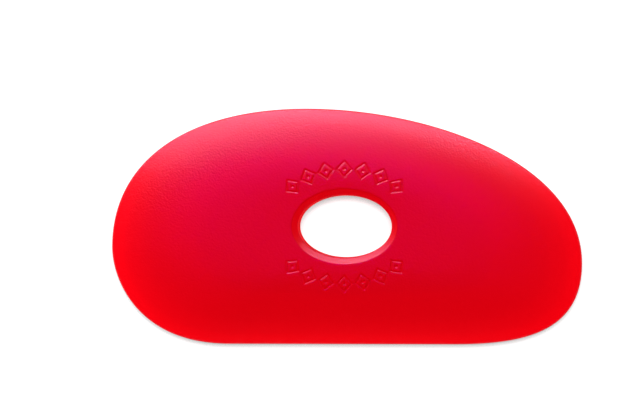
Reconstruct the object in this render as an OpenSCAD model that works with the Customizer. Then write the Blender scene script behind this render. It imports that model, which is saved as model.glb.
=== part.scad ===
// Potter's rib: one soft polyurethane casting that lies flat on its back.
// X runs along the rib, Y from the straight edge up to the arch, Z out of the domed face.
// The origin is on the back, at the middle of the outline, which is also the middle of the hole.

/* [Outline] */
// Length of the rib from end to end
length = 88.9; // [70:0.1:120]
// Height of the rib from the straight edge to the top of the arch
height = 44.45; // [36:0.05:60]
// Reach of the straight edge to the left of the middle
straight_left = 22.2; // [12:0.1:28]
// Reach of the straight edge to the right of the middle
straight_right = 20.3; // [12:0.1:28]
// How far left of the middle the arch is highest
crest_left = 7.6; // [0:0.1:14]
// How far below the middle the left end reaches furthest
left_end_drop = 3.9; // [0:0.1:8]
// How far below the middle the right end reaches furthest
right_end_drop = 6.9; // [0:0.1:10]

/* [Fullness of the corners] */
// Lower right corner, near the straight edge and near the end, from 0 for slack to 1 for square
lower_right_pull = [0.56, 0.84]; // [0.3:0.01:0.9]
// Upper right shoulder, near the end and near the crest
upper_right_pull = [0.65, 0.45]; // [0.3:0.01:0.9]
// Upper left shoulder, near the crest and near the end
upper_left_pull = [0.62, 0.62]; // [0.3:0.01:0.9]
// Lower left corner, near the end and near the straight edge
lower_left_pull = [0.3, 0.81]; // [0.3:0.01:0.9]

/* [Thickness] */
// Thickness beside the finger hole, where the dome is highest
crown = 6; // [4.5:0.1:9]
// Thickness of the thin working edge, which is rounded full
edge = 1.4; // [0.8:0.1:2.4]
// Slope at which the dome leaves the thin edge at the crest, in degrees; longer runs start gentler
edge_slope = 35; // [28:1:42]

/* [Finger hole] */
// Length of the hole where it is narrowest, near the back
hole_length = 17.4; // [12:0.1:24]
// Height of the hole where it is narrowest, near the back
hole_height = 11.6; // [8:0.1:16]
// Radius of the rim on the front
rim_round = 1.2; // [0.6:0.1:2]
// Lean of the wall of the hole, which lets the casting leave its mould, in degrees
wall_draft = 4; // [1:0.5:8]
// Width of the broken corner round the hole on the back
back_break = 0.3; // [0.1:0.1:0.8]
// Width of the flat ring between the dome and the rim of the hole
rim_land = 0.4; // [0.2:0.1:1]

/* [Smoothness] */
// Steps along each rounded quarter of the outline
quarter_steps = 26; // [16:1:32]
// Steps along the straight edge
straight_steps = 20; // [12:1:28]
// Steps round the thin edge, half of them below its outermost line
edge_steps = 6; // [4:2:8]
// Steps up the dome from the edge to the crown
dome_steps = 14; // [8:1:16]
// Steps round the finger hole
hole_steps = 96; // [64:4:120]
// Steps over the rim of the hole
rim_steps = 6; // [4:1:8]

/* [Hidden] */

// How far the hole's cutter runs past the back and the crown
cut_past = 1;
edge_radius = edge / 2;

// Above 1, the steps of the dome are shorter near the edge, where it bends most
step_crowding = 1.4;

// Where the straight edge ends and where the outline reaches furthest
heel_left = [-straight_left, -height / 2];
heel_right = [straight_right, -height / 2];
right_end = [length / 2, -right_end_drop];
crest = [-crest_left, height / 2];
left_end = [-length / 2, -left_end_drop];

// The rounded quarters, anticlockwise: start, finish, pull at each, and whether the start is level
left_quarters = [
    [crest, left_end, upper_left_pull, true],
    [left_end, heel_left, lower_left_pull, false]
];
right_quarters = [
    [heel_right, right_end, lower_right_pull, true],
    [right_end, crest, upper_right_pull, false]
];

// The wall meets the rim's arc here: height, distance outside the narrowest ellipse, arc centre
rim_foot_z = crown - rim_round + rim_round * sin(wall_draft);
rim_foot_out = (rim_foot_z - back_break) * tan(wall_draft);
rim_centre_out = rim_foot_out + rim_round * cos(wall_draft);
dome_end_out = rim_centre_out + rim_land;

// How far the dome runs at the crest, from the outline to the crown
crest_run = height / 2 - hole_height / 2 - dome_end_out;

// The four control points of a quarter: one handle lies level and the other upright
function controls(quarter) =
    let (start = quarter[0], finish = quarter[1], pull = quarter[2], span = finish - start)
    quarter[3]
        ? [start, start + [span.x * pull[0], 0], finish - [0, span.y * pull[1]], finish]
        : [start, start + [0, span.y * pull[0]], finish - [span.x * pull[1], 0], finish];

// A point on the cubic curve of four control points
function on_curve(c, t) =
    c[0] * pow(1 - t, 3) + 3 * c[1] * t * pow(1 - t, 2) + 3 * c[2] * t * t * (1 - t) + c[3] * pow(t, 3);

// The direction of travel at that point
function heading(c, t) =
    (c[1] - c[0]) * pow(1 - t, 2) + 2 * (c[2] - c[1]) * t * (1 - t) + (c[3] - c[2]) * t * t;

// The unit vector to the left of a direction, which points into the rib
function inward(direction) = [-direction.y, direction.x] / norm(direction);

// Outline points along rounded quarters, each with the direction into the rib
function rounded(quarters) = [
    for (quarter = quarters, i = [0 : quarter_steps - 1])
        let (c = controls(quarter), t = i / quarter_steps)
        [on_curve(c, t), inward(heading(c, t))]
];

// The same along the straight edge
straight = [
    for (i = [0 : straight_steps - 1])
        [heel_left + (heel_right - heel_left) * i / straight_steps, inward([1, 0])]
];

// All the way round from the crest, so that no three points of a fan from the first are in line
stations = concat(rounded(left_quarters), straight, rounded(right_quarters));

// A point on the hole's narrowest ellipse grown by out, at an angle of that ellipse
function on_hole(angle, out) =
    [(hole_length / 2 + out) * cos(angle), (hole_height / 2 + out) * sin(angle)];

// Where the dome that rises from an outline point reaches the crown
function dome_end(point) = on_hole(atan2(point.y / height, point.x / length), dome_end_out);

// How far the dome runs from a station, square to the edge
function run_in(station) = (dome_end(station[0]) - station[0]) * station[1];

// The slope at which the dome leaves the thin edge at a station
function lean(station) = atan(tan(edge_slope) * sqrt(crest_run / run_in(station)));

// How far round the thin edge a share of its steps has come, with its outermost line at a half
function edge_turn(share, lean) = share < 0.5 ? 180 * share : 90 + (90 - lean) * (2 * share - 1);

// A ring along the thin edge, from 0 on the back to 1 where the dome leaves it
function edge_ring(share) = [
    for (station = stations)
        let (
            turn = edge_turn(share, lean(station)),
            p = station[0] + station[1] * edge_radius * (1 - sin(turn))
        )
        [p.x, p.y, edge_radius * (1 - cos(turn))]
];

// A ring up the dome, from 0 at the thin edge to 1 at the crown. The dome levels off as a power of
// what is left of its run, and the power carries on the slope of the thin edge. A power of 1 would
// be a straight slope, and less than 1 a hollow one.
function dome_ring(share) = [
    for (station = stations)
        let (
            slope = lean(station),
            foot = station[0] + station[1] * edge_radius * (1 - sin(slope)),
            foot_z = edge_radius * (1 + cos(slope)),
            run = dome_end(station[0]) - foot,
            power = max(1, tan(slope) * (run * station[1]) / (crown - foot_z)),
            p = foot + run * share
        )
        [p.x, p.y, crown - (crown - foot_z) * pow(1 - share, power)]
];

// A ring round the hole
function hole_ring(out, z) = [
    for (i = [0 : hole_steps - 1])
        let (p = on_hole(360 * i / hole_steps, out)) [p.x, p.y, z]
];

// A closed solid through a stack of rings that all have the same number of points
module ring_stack(rings) {
    around = len(rings[0]);
    last = (len(rings) - 1) * around;
    sides = [
        for (k = [0 : len(rings) - 2], i = [0 : around - 1])
            let (a = k * around + i, b = k * around + (i + 1) % around)
            each [[a, a + around, b + around], [a, b + around, b]]
    ];
    base = [for (i = [0 : around - 1]) i];
    roof = [for (i = [around - 1 : -1 : 0]) last + i];
    polyhedron([for (ring = rings) each ring], concat([base], sides, [roof]), convexity = 4);
}

// The casting before its hole: flat back, full round edge, and a dome up to a level crown
module domed_blank() {
    ring_stack(concat(
        [for (k = [0 : edge_steps]) edge_ring(k / edge_steps)],
        [for (k = [1 : dome_steps]) dome_ring(pow(k / dome_steps, step_crowding))]
    ));
}

// What the finger hole takes away: broken back corner, leaning wall and rounded rim
module finger_hole() {
    ring_stack(concat(
        [
            hole_ring(back_break, -cut_past),
            hole_ring(back_break, 0),
            hole_ring(0, back_break)
        ],
        [
            for (k = [0 : rim_steps])
                let (turn = wall_draft + (90 - wall_draft) * k / rim_steps)
                hole_ring(rim_centre_out - rim_round * cos(turn),
                    crown - rim_round * (1 - sin(turn)))
        ],
        [hole_ring(rim_centre_out, crown + cut_past)]
    ));
}

module rib() {
    color("crimson")
        difference() {
            domed_blank();
            finger_hole();
        }
}

rib();
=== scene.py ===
# %% [markdown]
# # A potter's rib, cast in soft red polyurethane
# A potter presses this rib against wet clay with a fingertip in its hole. The real one is poured
# into a mould and comes out as one piece: a flat back, a dome that is thickest beside the hole,
# and an edge thin enough to bend. This file models that piece, gives it its finish and lights it.

# %% [markdown]
# ## The measured model
# A measured model of the rib is packed first, and this file dresses it. The length, the height and
# the thickness come from that model's box, so the piece made here can't grow past it. Blender works
# in metres, but sizes this small are easier to think about in millimetres, so MM turns one into the
# other.

# %% Load the measured model
import math

import bmesh
import bpy
import numpy as np
from mathutils import Matrix, Vector
from mathutils.geometry import interpolate_bezier
from mathutils.kdtree import KDTree


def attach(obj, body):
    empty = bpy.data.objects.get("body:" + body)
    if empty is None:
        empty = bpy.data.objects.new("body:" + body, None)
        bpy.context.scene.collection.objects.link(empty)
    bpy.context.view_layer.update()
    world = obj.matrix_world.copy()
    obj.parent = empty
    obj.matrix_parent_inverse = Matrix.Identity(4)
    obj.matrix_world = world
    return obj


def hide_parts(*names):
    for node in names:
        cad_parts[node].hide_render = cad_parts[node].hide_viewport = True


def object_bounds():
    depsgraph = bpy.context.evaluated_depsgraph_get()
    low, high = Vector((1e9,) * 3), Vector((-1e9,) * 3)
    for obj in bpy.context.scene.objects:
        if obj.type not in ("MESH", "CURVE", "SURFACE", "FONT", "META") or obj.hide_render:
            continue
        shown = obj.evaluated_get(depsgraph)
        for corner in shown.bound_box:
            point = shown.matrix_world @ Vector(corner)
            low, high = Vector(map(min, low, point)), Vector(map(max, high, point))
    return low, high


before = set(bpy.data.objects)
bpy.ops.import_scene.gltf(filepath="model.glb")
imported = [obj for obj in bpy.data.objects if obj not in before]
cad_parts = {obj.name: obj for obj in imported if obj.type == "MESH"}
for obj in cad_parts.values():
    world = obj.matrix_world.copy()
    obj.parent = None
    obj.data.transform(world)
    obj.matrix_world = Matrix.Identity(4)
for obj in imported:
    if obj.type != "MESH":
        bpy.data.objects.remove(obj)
cad_low, cad_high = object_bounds()
MM = 0.001
half_length = (cad_high.x - cad_low.x) / 2 / MM
half_height = (cad_high.y - cad_low.y) / 2 / MM
crown = cad_high.z / MM
print(f"the rib is {2 * half_length:.2f} by {2 * half_height:.2f} mm and {crown:.1f} mm thick")

# %% [markdown]
# ## The camera
# The photograph looks down on a rib that lies on its back. It shows a little of the hole's left
# wall and nothing of its right wall, so the camera leans a few degrees to the right. The scale of
# the picture, in pixels to the millimetre, says how much the frame takes in, and frame_centre is
# the point in its middle, which falls inside the hole. An orthographic camera would keep the
# outline true, and so does a long lens at a distance, which is what a photographer would use.

# %% Place the camera
PHOTO_WIDTH_PX = 643
PX_PER_MM = 5.294
CAMERA_DISTANCE = 0.7
CAMERA_LEAN = 0.07
frame_centre = Vector((-4.65, 3.27, 0.7)) * MM

frame_width = PHOTO_WIDTH_PX / PX_PER_MM * MM
camera_data = bpy.data.cameras.new("camera")
camera_data.lens = camera_data.sensor_width * CAMERA_DISTANCE / frame_width
camera = bpy.data.objects.new("camera", camera_data)
backward = Vector((CAMERA_LEAN, 0, 1)).normalized()
rightward = Vector((0, 1, 0)).cross(backward).normalized()
upward = backward.cross(rightward)
camera.location = frame_centre + backward * CAMERA_DISTANCE
camera.rotation_euler = Matrix((rightward, upward, backward)).transposed().to_euler()
bpy.context.scene.collection.objects.link(camera)
bpy.context.scene.camera = camera
print(f"a {camera_data.lens:.0f} mm lens, {CAMERA_DISTANCE:.1f} m away")

# %% [markdown]
# ## The outline
# The rib has one straight edge and an arch that is highest left of the middle. Arcs of circles
# would need many pieces to follow it. But each rounded quarter runs from a level stretch to an
# upright one, so one cubic curve with a level handle and an upright handle draws it. How long a
# handle is, as a share of the quarter, sets how full the corner is.

# %% Draw the outline
straight_left, straight_right = 22.2, 20.3
crest_left = 7.6
left_end_drop, right_end_drop = 3.9, 6.9
lower_right_pull, upper_right_pull = (0.56, 0.84), (0.65, 0.45)
upper_left_pull, lower_left_pull = (0.62, 0.62), (0.30, 0.81)
CURVE_POINTS = 400

heel_left = Vector((-straight_left, -half_height))
heel_right = Vector((straight_right, -half_height))
right_end = Vector((half_length, -right_end_drop))
crest = Vector((-crest_left, half_height))
left_end = Vector((-half_length, -left_end_drop))


def quarter(start, finish, pulls, starts_level):
    """Points along one rounded quarter of the outline, without its last one."""
    span = finish - start
    if starts_level:
        handles = Vector((span.x * pulls[0], 0)), Vector((0, span.y * pulls[1]))
    else:
        handles = Vector((0, span.y * pulls[0])), Vector((span.x * pulls[1], 0))
    return interpolate_bezier(start, start + handles[0], finish - handles[1], finish, CURVE_POINTS)[:-1]


straight = [heel_left.lerp(heel_right, i / CURVE_POINTS) for i in range(CURVE_POINTS)]
outline = np.array(
    quarter(heel_right, right_end, lower_right_pull, starts_level=True)
    + quarter(right_end, crest, upper_right_pull, starts_level=False)
    + quarter(crest, left_end, upper_left_pull, starts_level=True)
    + quarter(left_end, heel_left, lower_left_pull, starts_level=False)
    + straight
)
print(f"the outline spans {np.ptp(outline, axis=0).round(2)} mm")

# %% [markdown]
# ## Stations round the hole
# A square grid over the rib would meet its oval hole and its outline in ragged steps. The rib is
# really one ring round its hole, so spokes run out from the hole to the outline instead, one for
# each station. Both ends of a spoke sit at the same angle of an ellipse, which spreads them evenly
# round the long, low shape.

# %% Set out the stations
STATIONS = 720
hole_length, hole_height = 17.4, 11.6
angles = np.arange(STATIONS) * 2 * math.pi / STATIONS
outline_angles = np.arctan2(outline[:, 1] / half_height, outline[:, 0] / half_length)


def at_stations(values):
    """Values along the outline, read off at each station's angle."""
    return np.interp(angles, outline_angles % (2 * math.pi), values, period=2 * math.pi)


def on_hole(out):
    """Station points on the hole's narrowest ellipse grown by out."""
    return np.stack([(hole_length / 2 + out) * np.cos(angles), (hole_height / 2 + out) * np.sin(angles)], 1)


def directions(points):
    """The direction of travel at each point of a closed line, from its two neighbours."""
    travel = np.roll(points, -1, axis=0) - np.roll(points, 1, axis=0)
    return travel / np.linalg.norm(travel, axis=1)[:, None]


travel = directions(outline)
tip = np.stack([at_stations(outline[:, 0]), at_stations(outline[:, 1])], 1)
inward = np.stack([at_stations(-travel[:, 1]), at_stations(travel[:, 0])], 1)
spacing = np.linalg.norm(np.roll(tip, -1, axis=0) - tip, axis=1)
print(f"{STATIONS} stations, at most {spacing.max():.2f} mm apart on the outline")

# %% [markdown]
# ## How the dome rises
# The working edge is thin and rounded full. At the crest the dome leaves it at 35 degrees. Where
# the dome runs further it starts gentler, by the square root of its run, as the way the sheen
# fades along the rib shows. Then it levels off as a power of what is left of its run, so it meets
# the level land round the hole without a crease. A straight slope would crease there. The dome ends
# on the hole's ellipse grown by dome_end_out, which leaves room for the land and the rim.

# %% Lead the dome in from the edge
edge = 1.4
edge_radius = edge / 2
crest_slope = math.radians(35)
dome_end_out = 1.92

dome_end = on_hole(dome_end_out)
crest_run = half_height - hole_height / 2 - dome_end_out
run_in = ((dome_end - tip) * inward).sum(axis=1)
lean = np.arctan(math.tan(crest_slope) * np.sqrt(crest_run / run_in))
dome_foot = tip + inward * (edge_radius * (1 - np.sin(lean)))[:, None]
dome_foot_z = edge_radius * (1 + np.cos(lean))
dome_run = dome_end - dome_foot
dome_power = np.tan(lean) * (dome_run * inward).sum(axis=1) / (crown - dome_foot_z)
leans = np.degrees(lean)
print(f"the dome leaves the edge at {leans.min():.0f} to {leans.max():.0f} degrees")

# %% [markdown]
# ## The rim of the hole
# In the photograph a pale band lies along the lower rim, where the rim faces the lamps. A plain
# quarter round gives a thinner band, because only a sliver of it faces them. A bevel with soft
# corners gives the band its width. The rim's slope is written as a curve that does this in one go:
# level at first, quickly 43 degrees, and upright at the end.

# %% Shape the rim
rim_width = 1.3
bevel_slope = math.radians(43)
wall_draft = math.radians(0.3)
flash_width, flash_height = 0.12, 0.3

RIM_STEPS = 16
BEVEL_FROM, BEVEL_UP_TO = 0.2, 0.85
rim_shares = np.linspace(0, 1, RIM_STEPS + 1)
mid_shares = (rim_shares[1:] + rim_shares[:-1]) / 2
turns_at = (0, BEVEL_FROM, BEVEL_UP_TO, 1)
rim_slope = np.interp(mid_shares, turns_at, (0, bevel_slope, bevel_slope, math.pi / 2))
rim_run = np.concatenate([[0], np.cumsum(np.cos(rim_slope))])
rim_run *= rim_width / rim_run[-1]
rim_fall = np.concatenate([[0], np.cumsum(np.diff(rim_run) * np.tan(rim_slope))])
rim_foot_z = crown - rim_fall[-1]
rim_foot_out = flash_width + (rim_foot_z - flash_height) * math.tan(wall_draft)
rim_top_out = rim_foot_out + rim_width
print(f"the rim is {rim_width:.1f} mm wide and falls {rim_fall[-1]:.2f} mm")

# %% [markdown]
# ## The section along a spoke
# From the hole outwards along the back, round the thin edge, up the dome, over the rim and down
# the wall to the thin flash that a mould leaves at its foot. Each stretch of this section is a
# function of a share from 0 to 1 that gives one ring of points. A single profile spun round would
# be shorter, but each spoke here has its own length and slope.

# %% Write the back and the edge
def ring(plan, z):
    """A ring of points in space from plan points and a height."""
    return np.column_stack([plan, np.broadcast_to(z, STATIONS)])


def back(share):
    """Along the flat back, from the hole out to the thin edge."""
    inner, outer = on_hole(flash_width), tip + inward * edge_radius
    return ring(inner + (outer - inner) * share, 0.0)


def thin_edge(share):
    """Round the thin edge, from the back up to where the dome leaves it."""
    turn = (math.pi - lean) * share
    plan = tip + inward * (edge_radius * (1 - np.sin(turn)))[:, None]
    return ring(plan, edge_radius * (1 - np.cos(turn)))


print(f"the back is {np.ptp(back(1)[:, 0]):.1f} by {np.ptp(back(1)[:, 1]):.2f} mm")

# %% [markdown]
# ## Close rings for fine work
# The ornament pressed in further down has lines half a millimetre wide, so the mesh needs close
# rings there, and close rings everywhere would waste faces. So the dome has an outer stretch with
# wide rings and an inner one, near the hole, with close rings. The zone is measured square to the
# hole, because a slanting spoke covers less ground than it is long.

# %% Write the dome
CLOSE_ZONE = 5.2
EDGE_CROWDING = 1.8


def dome_height(share):
    """Height of the dome at every station, at a share of its run."""
    return crown - (crown - dome_foot_z) * (1 - share) ** dome_power


def dome(share):
    """The dome at a share of its run, which may differ from station to station."""
    return ring(dome_foot + dome_run * share[:, None], dome_height(share))


along_hole = directions(dome_end)
square_run = dome_run[:, 1] * along_hole[:, 0] - dome_run[:, 0] * along_hole[:, 1]
close_from = 1 - CLOSE_ZONE / square_run


def outer_dome(share):
    """Up the dome to where the close rings begin, with shorter steps near the edge."""
    return dome(share ** EDGE_CROWDING * close_from)


def inner_dome(share):
    """Up the rest of the dome in even steps, the close rings."""
    return dome(close_from + share * (1 - close_from))


print(f"close rings begin at {close_from.min():.2f} to {close_from.max():.2f} of the dome's run")

# %% [markdown]
# ## Through the hole
# The rest of the section is the same all round. A level ring of land joins the dome to the rim, the
# rim follows the curve worked out above, the wall runs straight down, and the flash bulges half an
# ellipse into the hole. A bevel on a sharp-edged hole could make the rim as well, but rings keep
# its curve and its steps in plain sight. Then each stretch is told how many rings it gets: many
# where the surface bends or is pressed, few where it is straight.

# %% Write the land, the rim, the wall and the flash
def land(share):
    """Over the level ring between the dome and the rim."""
    return ring(on_hole(dome_end_out + (rim_top_out - dome_end_out) * share), crown)


def rim(share):
    """Over the rim, from the land down to the wall."""
    run, fall = np.interp(share, rim_shares, rim_run), np.interp(share, rim_shares, rim_fall)
    return ring(on_hole(rim_top_out - run), crown - fall)


def wall(share):
    """Down the wall of the hole to the flash."""
    out = rim_foot_out + (flash_width - rim_foot_out) * share
    return ring(on_hole(out), rim_foot_z + (flash_height - rim_foot_z) * share)


def flash(share):
    """Round the flash, from the wall to the back."""
    turn = math.pi / 2 - math.pi * share
    return ring(on_hole(flash_width * (1 - math.cos(turn))), flash_height / 2 * (1 + math.sin(turn)))


stretches = [
    (back, 10), (thin_edge, 12), (outer_dome, 20), (inner_dome, 50),
    (land, 2), (rim, RIM_STEPS), (wall, 4), (flash, 4),
]
rings = [stretch(k / steps) for stretch, steps in stretches for k in range(steps)]
ring_counts = np.cumsum([0] + [steps for stretch, steps in stretches])
first_ring = {stretch: count for (stretch, steps), count in zip(stretches, ring_counts)}
print(f"{len(rings)} rings in {len(stretches)} stretches")

# %% [markdown]
# ## Spin the section round the hole
# The section is drawn at the first station as a closed loop of vertices and spun a full turn, so
# the operator makes every face. Each vertex carries the number of its ring along. Then each moves
# to its own place on its ring, which stretches the round body out to the rib's outline. A spin of
# 720 steps takes long, so the spin makes every eighth station and a subdivision adds the others.

# %% Spin and stretch the body
STRIP_STATIONS = 8
body = bmesh.new()
ring_number = body.verts.layers.int.new("ring")
station_number = body.verts.layers.int.new("station")
section = []
for number, points in enumerate(rings):
    vertex = body.verts.new(points[0])
    vertex[ring_number] = number
    section.append(vertex)
for vertex, following in zip(section, section[1:] + section[:1]):
    body.edges.new((vertex, following))
bmesh.ops.spin(
    body, geom=body.verts[:] + body.edges[:], cent=(0, 0, 0), axis=(0, 0, 1),
    angle=2 * math.pi, steps=STATIONS // STRIP_STATIONS, use_merge=True,
)
around = [line for line in body.edges if line.verts[0][ring_number] == line.verts[1][ring_number]]
bmesh.ops.subdivide_edges(body, edges=around, cuts=STRIP_STATIONS - 1, use_grid_fill=True)
for vertex in body.verts:
    turn = math.atan2(vertex.co.y, vertex.co.x) / (2 * math.pi)
    vertex[station_number] = round(turn * STATIONS) % STATIONS
    vertex.co = rings[vertex[ring_number]][vertex[station_number]]
bmesh.ops.recalc_face_normals(body, faces=body.faces[:])
print(f"{len(body.verts)} vertices, {len(body.faces)} faces, volume {body.calc_volume():.0f} cubic mm")

# %% [markdown]
# ## Thickness as an attribute
# The casting is slightly translucent, so thin places glow brighter than thick ones. Subsurface
# scattering could work that out from the light, but it needs many samples, and here the thickness
# is known at every point. So each vertex keeps it, as a share of the crown, and the material paints
# that glow into the casting's colour from it. On the back it is the thickness of the dome above, so
# both faces agree. Light gets into the rim and the wall of the hole from two sides, so they count as
# thinner than the rib is there, which paints them brighter. Only the first steps of the rim, which
# are nearly level, still count in full.

# %% Note the thickness at every vertex
# Shares smaller than the real thickness, which paint the wall and the rim brighter
WALL_PAINTED_GLOW_SHARE, RIM_PAINTED_GLOW_SHARE = 0.25, 0.62
LEVEL_RIM_STEPS = 3
thickness = body.verts.layers.float.new("thickness")
back_steps = stretches[0][1]


def thickness_and_painted_glow_at(vertex):
    """Thickness of the rib at a vertex, as a share of the crown, made smaller on the rim and the wall so
    that the colour paints a glow there.
    """
    number = vertex[ring_number]
    if number >= first_ring[wall]:
        return WALL_PAINTED_GLOW_SHARE
    if number >= first_ring[rim] + LEVEL_RIM_STEPS:
        return RIM_PAINTED_GLOW_SHARE
    if number < back_steps:
        return dome_height(1 - number / back_steps)[vertex[station_number]] / crown
    return max(vertex.co.z, edge) / crown


for vertex in body.verts:
    vertex[thickness] = thickness_and_painted_glow_at(vertex)
print(f"thickness runs from {edge / crown:.2f} to 1.00 of the crown")

# %% [markdown]
# ## The pressed border
# A mould can carry an ornament, which comes out of it as fine grooves in the casting. This rib has
# an old and common one, a row of lozenges with a dot in each, above the hole and below it. A
# groove this shallow could be a bump in the material, but bump has no shape of its own when the
# mesh is used elsewhere, so the vertices are pressed down instead, like strokes of a sculpting
# brush.

# %% Draw the border's middle line
border_out = 4.95
middle_line = on_hole(border_out)
step_along = np.roll(middle_line, -1, axis=0) - middle_line
along = step_along / np.linalg.norm(step_along, axis=1)[:, None]
outward = np.stack([along[:, 1], -along[:, 0]], 1)
arc = np.concatenate([[0], np.cumsum(np.linalg.norm(step_along, axis=1))[:-1]])
TOP_STATION, BOTTOM_STATION = STATIONS // 4, STATIONS * 3 // 4
nearest = KDTree(STATIONS)
for station, point in enumerate(middle_line):
    nearest.insert((*point, 0), station)
nearest.balance()
print(f"the middle line of the border is {arc[-1]:.1f} mm long, all the way round")

# %% [markdown]
# ## How a lozenge is pressed
# Each vertex near the hole looks up the nearest point of the middle line, which gives its place
# along that line and across it. The sides of a lozenge are where the share of its half length and
# the share of its half height add up to 1, so a plain sum gives the distance to them. A smooth
# hollow where that distance is nought makes the groove, and another in the middle makes the dot.
# Cutters and a boolean would leave sharper corners than a cast groove has.

# %% Press the lozenges into the dome
lozenge_half_long, lozenge_half_high = 1.35, 1.45
lozenge_pitch = 3.5
lozenges_each_side = 3
groove_half_width, groove_depth = 0.26, 0.17
dot_radius, dot_depth = 0.42, 0.20


def groove(distance, half_width):
    """A smooth hollow, 1 deep at its middle and 0 past its half width."""
    return math.cos(math.pi / 2 * min(abs(distance) / half_width, 1)) ** 2


def pressed(vertex):
    """How deep the border presses a vertex of the dome, in millimetres."""
    station = nearest.find((vertex.co.x, vertex.co.y, 0))[1]
    middle = TOP_STATION if station < STATIONS // 2 else BOTTOM_STATION
    offset = np.array(vertex.co.xy) - middle_line[station]
    across = offset @ outward[station]
    run = arc[station] - arc[middle] + offset @ along[station]
    number = round(run / lozenge_pitch)
    if abs(number) > lozenges_each_side:
        return 0.0
    run -= number * lozenge_pitch
    outside = abs(run) / lozenge_half_long + abs(across) / lozenge_half_high - 1
    outside /= math.hypot(1 / lozenge_half_long, 1 / lozenge_half_high)
    line = groove_depth * groove(outside, groove_half_width)
    return line + dot_depth * groove(math.hypot(run, across), dot_radius)


close_rings = range(first_ring[inner_dome], first_ring[land])
presses = [(vertex, pressed(vertex)) for vertex in body.verts if vertex[ring_number] in close_rings]
for vertex, depth in presses:
    vertex.co.z -= depth
deep = sum(depth > 0 for vertex, depth in presses)
print(f"{2 * (2 * lozenges_each_side + 1)} lozenges pressed by moving {deep} vertices")

# %% [markdown]
# ## The finished piece
# The shape is done, so it shrinks from millimetres to metres and becomes a mesh. Its object stays at
# the origin, unturned and unscaled, and all of its place is in the mesh, as with the measured model.
# It takes the place of the measured rib, which hides but still counts where things touch. Smooth
# shading suits a casting, and the thin edge is round enough to need no sharp line.

# %% Make the rib's object
bmesh.ops.scale(body, vec=(MM, MM, MM), verts=body.verts[:])
for face in body.faces:
    face.smooth = True
rib_mesh = bpy.data.meshes.new("potters_rib")
body.to_mesh(rib_mesh)
body.free()
rib = bpy.data.objects.new("potters_rib", rib_mesh)
bpy.context.scene.collection.objects.link(rib)
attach(rib, "root")
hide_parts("rib")
print(f"{len(rib_mesh.polygons)} faces in {rib.name}")

# %% [markdown]
# ## Soft red polyurethane
# Seen from above the casting is satin. Seen from low down a plain shader would glare, and this soft
# surface doesn't, so its roughness grows as the surface turns away. Layer Weight measures that
# turn. The sheen in the photograph is rosy, and Specular Tint makes it so.

# %% Make the sheen
SATIN, MATTE = 0.34, 0.8
SATIN_UP_TO, MATTE_FROM = 0.2, 0.6
POLYURETHANE_IOR = 1.5
ROSY = (1.0, 0.57, 1.0, 1.0)

urethane = bpy.data.materials.new("soft_polyurethane")
urethane.use_nodes = True
nodes = urethane.node_tree.nodes
links = urethane.node_tree.links
shader = nodes["Principled BSDF"]
shader.inputs["IOR"].default_value = POLYURETHANE_IOR
shader.inputs["Specular Tint"].default_value = ROSY

turned_away = nodes.new("ShaderNodeLayerWeight")
sheen = nodes.new("ShaderNodeMapRange")
sheen.inputs["From Min"].default_value = SATIN_UP_TO
sheen.inputs["From Max"].default_value = MATTE_FROM
sheen.inputs["To Min"].default_value = SATIN
sheen.inputs["To Max"].default_value = MATTE
links.new(turned_away.outputs["Facing"], sheen.inputs["Value"])
links.new(sheen.outputs["Result"], shader.inputs["Roughness"])
rib_mesh.materials.append(urethane)
print(f"{urethane.name}: roughness {SATIN} from above and {MATTE} from low down")

# %% [markdown]
# ## The glow of thin places
# The thickness attribute picks the red from a ramp. The deep red beside the hole is the casting's
# own, and the brighter red towards the thin edge is a painted glow of the light that shines through
# thin places: full red at the thin edge and about two thirds of it beside the hole. Mixing two reds
# would make the change even all the way, but in the photograph it is quick near the edge and slow
# over the dome, and a ramp can hold that.

# %% Paint the glow of thin places into the colour
# Thickness share and red: the last stop is the casting's own red, the brighter ones a painted glow
RED_AND_PAINTED_GLOW_BY_THICKNESS = ((0.25, 1.0), (0.40, 0.90), (0.60, 0.79), (0.90, 0.695), (1.0, 0.645))
TRACE_OF_BLUE = 0.004

thickness_share = nodes.new("ShaderNodeAttribute")
thickness_share.attribute_name = "thickness"
glow = nodes.new("ShaderNodeValToRGB")
glow.color_ramp.interpolation = "CARDINAL"
for share, strength in RED_AND_PAINTED_GLOW_BY_THICKNESS[1:-1]:
    glow.color_ramp.elements.new(share)
for element, (share, strength) in zip(glow.color_ramp.elements, RED_AND_PAINTED_GLOW_BY_THICKNESS):
    element.position = share
    element.color = (strength, 0.0, TRACE_OF_BLUE, 1)
links.new(thickness_share.outputs["Fac"], glow.inputs["Fac"])
links.new(glow.outputs["Color"], shader.inputs["Base Color"])
print(f"the glow ramp has {len(glow.color_ramp.elements)} stops")

# %% [markdown]
# ## The grain of the mould
# Close up, the sheen is broken by a grain finer than half a millimetre, which the mould leaves on
# the casting. It is too fine for the mesh, so a noise texture bumps the surface by a twentieth of a
# millimetre, with two finer grains laid over the first. It reads Object coordinates, so it stays
# where it is on the rib.

# %% Add the grain
GRAIN_SIZE = 0.36 * MM
GRAIN_HEIGHT = 0.05 * MM
FINER_GRAINS = 2.0

place = nodes.new("ShaderNodeTexCoord")
grain = nodes.new("ShaderNodeTexNoise")
grain.inputs["Scale"].default_value = 1 / GRAIN_SIZE
grain.inputs["Detail"].default_value = FINER_GRAINS
grain_bump = nodes.new("ShaderNodeBump")
grain_bump.inputs["Distance"].default_value = GRAIN_HEIGHT
links.new(place.outputs["Object"], grain.inputs["Vector"])
links.new(grain.outputs["Fac"], grain_bump.inputs["Height"])
links.new(grain_bump.outputs["Normal"], shader.inputs["Normal"])
print(f"{urethane.name} has {len(nodes)} nodes")

# %% [markdown]
# ## The sheet of paper
# The rib lies on plain white paper. One large face is enough, a hair below the rib's back so that
# the two don't fight over the same height.

# %% Lay the paper
PAPER_HALF_WIDTH = 3.0
PAPER_DROP = 0.02 * MM

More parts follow.
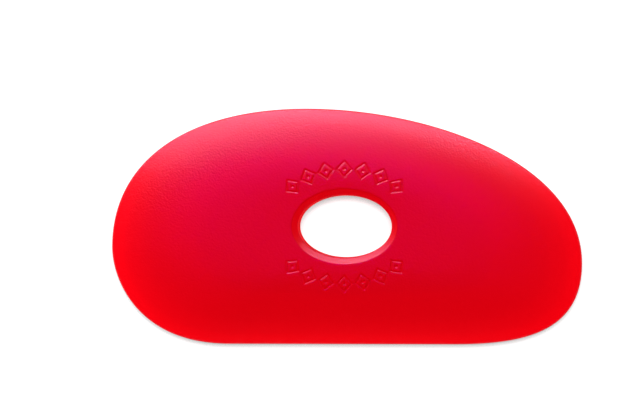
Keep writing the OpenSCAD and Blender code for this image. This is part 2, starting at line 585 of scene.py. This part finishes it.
floor_build = bmesh.new()
bmesh.ops.create_grid(floor_build, x_segments=1, y_segments=1, size=PAPER_HALF_WIDTH)
bmesh.ops.translate(floor_build, vec=(0, 0, -PAPER_DROP), verts=floor_build.verts[:])
floor_mesh = bpy.data.meshes.new("floor")
floor_build.to_mesh(floor_mesh)
floor_build.free()
floor = bpy.data.objects.new("floor", floor_mesh)
bpy.context.scene.collection.objects.link(floor)

paper = bpy.data.materials.new("white_paper")
paper.use_nodes = True
paper_nodes = paper.node_tree.nodes
paper_links = paper.node_tree.links
paper_shader = paper_nodes["Principled BSDF"]
paper_shader.inputs["Roughness"].default_value = 1.0
paper_shader.inputs["Specular IOR Level"].default_value = 0.0
floor_mesh.materials.append(paper)
print(f"a sheet of {paper.name}, {2 * PAPER_HALF_WIDTH:.0f} m wide")

# %% [markdown]
# ## The shade where the rib touches
# In the photograph a narrow grey shade lies along the lower edge of the rib and under the upper
# edge of its hole, and hardly anywhere else. Lamps would spread it wide. Ambient Occlusion finds the
# places that something stands close to, and a normal that leans towards the top of the picture
# makes it look only that way. Map Range turns what it finds into a painted shade, a grey in the
# paper's colour and in its glow.

# %% Shade the paper beside the rib
CONTACT_REACH = 1.9 * MM
CONTACT_SAMPLES = 8
OPEN_ABOVE, CLOSED_BELOW = 0.83, 0.25
DARKEST_SHADE = 0.35
TOP_AND_UP_ALIKE = 0.7

towards_top = paper_nodes.new("ShaderNodeCombineXYZ")
towards_top.inputs["Y"].default_value = TOP_AND_UP_ALIKE
towards_top.inputs["Z"].default_value = TOP_AND_UP_ALIKE
contact = paper_nodes.new("ShaderNodeAmbientOcclusion")
contact.samples = CONTACT_SAMPLES
contact.inputs["Distance"].default_value = CONTACT_REACH
contact_shade = paper_nodes.new("ShaderNodeMapRange")
contact_shade.inputs["From Min"].default_value = CLOSED_BELOW
contact_shade.inputs["From Max"].default_value = OPEN_ABOVE
contact_shade.inputs["To Min"].default_value = DARKEST_SHADE
contact_shade.inputs["To Max"].default_value = 1.0
paper_links.new(towards_top.outputs["Vector"], contact.inputs["Normal"])
paper_links.new(contact.outputs["AO"], contact_shade.inputs["Value"])
print(f"the shade reaches {CONTACT_REACH / MM:.1f} mm")

# %% [markdown]
# ## What each kind of ray sees of the paper
# The background is pure white in the photograph. More light would make it so and would burn out
# the rib as well. Light Path tells the rays apart instead. To a ray from the camera the paper
# glows with a strength of 1 and counts as grey, so it is white even in the rib's wide shadow, and
# only the painted shade beside the rib greys it. To light that bounces up to the rib it is plain
# white paper. To a reflection it is nearly black, as behind the dark card that a photographer sets
# up to keep it out of a glossy thing.

# %% Tell the rays apart
WHITE_TO_LIGHT, WHITE_TO_CAMERA = 0.9, 0.3
GLOW_IN_REFLECTIONS = 0.07


def paper_math(operation, *values):
    """A Math node of the paper, fed with plain numbers or the outputs of other nodes."""
    node = paper_nodes.new("ShaderNodeMath")
    node.operation = operation
    for socket, value in zip(node.inputs, values):
        if isinstance(value, bpy.types.NodeSocket):
            paper_links.new(value, socket)
        else:
            socket.default_value = value
    return node.outputs["Value"]


ray = paper_nodes.new("ShaderNodeLightPath").outputs
camera_change = WHITE_TO_CAMERA - WHITE_TO_LIGHT
white = paper_math("MULTIPLY_ADD", ray["Is Camera Ray"], camera_change, WHITE_TO_LIGHT)
white = paper_math("MULTIPLY", white, paper_math("SUBTRACT", 1.0, ray["Is Glossy Ray"]))
# The painted shade beside the rib darkens the paper's colour
white = paper_math("MULTIPLY", white, contact_shade.outputs["Result"])
seen = paper_math("MAXIMUM", ray["Is Camera Ray"], ray["Is Transmission Ray"])
seen = paper_math("MULTIPLY_ADD", ray["Is Glossy Ray"], GLOW_IN_REFLECTIONS, seen)
paper_links.new(white, paper_shader.inputs["Base Color"])
# The painted shade greys the paper's glow as well
paper_links.new(contact_shade.outputs["Result"], paper_shader.inputs["Emission Color"])
paper_links.new(seen, paper_shader.inputs["Emission Strength"])
print(f"{paper.name} has {len(paper_nodes)} nodes")

# %% [markdown]
# ## The plain light
# A white world would light the rib evenly, but it would also show in every reflection. So the world
# is white where it is seen and lights nothing, and a lamp of the kind called sun, 150 degrees wide,
# gives the even light of a white tent. It casts no highlight. A sun of strength pi shows a level
# sheet in just the colour that is written for it, and this one is close to that.

# %% Put up the tent
TENT_WIDTH = math.radians(150)
TENT_LEVEL = 0.98

world = bpy.data.worlds.new("studio")
world.use_nodes = True
world.node_tree.nodes["Background"].inputs["Color"].default_value = (1, 1, 1, 1)
world.node_tree.nodes["Background"].inputs["Strength"].default_value = 1.0
world.cycles_visibility.glossy = False
world.cycles_visibility.diffuse = False
bpy.context.scene.world = world

tent_data = bpy.data.lights.new("tent", "SUN")
tent_data.angle = TENT_WIDTH
tent_data.energy = TENT_LEVEL * math.pi
tent_data.cycles.use_multiple_importance_sampling = False
tent = bpy.data.objects.new("tent", tent_data)
tent.visible_glossy = False
bpy.context.scene.collection.objects.link(tent)
bpy.context.scene.view_settings.view_transform = "Standard"
print(f"a tent of light, {math.degrees(tent_data.angle):.0f} degrees wide")

# %% [markdown]
# ## A softbox
# A photographer's softbox is a rectangle that glows evenly, which in Blender is an area light. A
# glowing plane would do too, but an area light needs fewer samples. Where a box stands is easiest
# to say as a direction: an azimuth round the rib and an elevation above the paper. The light shines
# along its own -Z, so its Z points the way it stands from the rib.

# %% Write the helpers for a softbox
def from_angles(azimuth, elevation):
    """The direction at an azimuth round Z, from +X, and an elevation above the paper."""
    flat = math.cos(math.radians(elevation))
    return Vector((
        math.cos(math.radians(azimuth)) * flat,
        math.sin(math.radians(azimuth)) * flat,
        math.sin(math.radians(elevation)),
    ))


def softbox(name, azimuth, elevation, size, watts):
    """An area light a metre away that faces the rib, with so many watts to its square metre."""
    data = bpy.data.lights.new(name, "AREA")
    data.shape = "RECTANGLE"
    data.size, data.size_y = size
    data.energy = watts * data.size * data.size_y
    data.cycles.use_multiple_importance_sampling = False
    lamp = bpy.data.objects.new(name, data)
    direction = from_angles(azimuth, elevation)
    lamp.location = direction
    lamp.rotation_euler = direction.to_track_quat("Z", "Y").to_euler()
    lamp.visible_camera = False
    bpy.context.scene.collection.objects.link(lamp)
    return lamp


print(f"azimuth 90 and elevation 0 point along {[round(v, 2) for v in from_angles(90, 0)]}")

# %% [markdown]
# ## The softboxes
# The sheen on the upper half of the rib is the reflection of softboxes beyond the arch. A slope
# that leans 35 degrees mirrors what stands 20 degrees above the table, and the gentler slopes
# further in mirror what is higher, so each box lights its own part of the dome: crest_box the line
# along the crest, shoulder_box and corner_box the upper left, sheen_box the broad glow below them,
# and cool_box the crimson cast round the hole. One large box could light it all, but its sheen
# would be even. They show in the gloss alone. The casting tints them rosy, so a box with 1.75 of
# green looks white in it, and boxes with little green stand in for a red that is deeper than a
# screen can show. Last, key_box adds plain light from the upper left and no gloss.

# %% Hang the softboxes
# Name, azimuth and elevation in degrees, size in metres, watts to the square metre, and colour
GLOSS_BOXES = (
    ("crest_box", 80, 14, (1.0, 0.25), 35.4, (1.0, 1.0, 1.0)),
    ("sheen_box", 118, 30, (0.6, 0.5), 6.12, (1.0, 1.75, 1.0)),
    ("cool_box", 108, 52, (0.8, 1.2), 5.8, (1.0, 0.0, 1.0)),
    ("shoulder_box", 112, 10, (0.6, 0.3), 16.6, (1.0, 1.28, 1.0)),
    ("corner_box", 130, 12, (0.5, 0.3), 20.2, (1.0, 0.65, 1.0)),
)
KEY_BOX = ("key_box", 140, 15, (0.8, 0.8), 6.0)

for name, azimuth, elevation, size, watts, colour in GLOSS_BOXES:
    box = softbox(name, azimuth, elevation, size, watts)
    box.data.color = colour
    box.visible_diffuse = False
key_box = softbox(*KEY_BOX)
key_box.visible_glossy = False
print(f"{len(GLOSS_BOXES)} boxes for the gloss and {key_box.name} for the light")
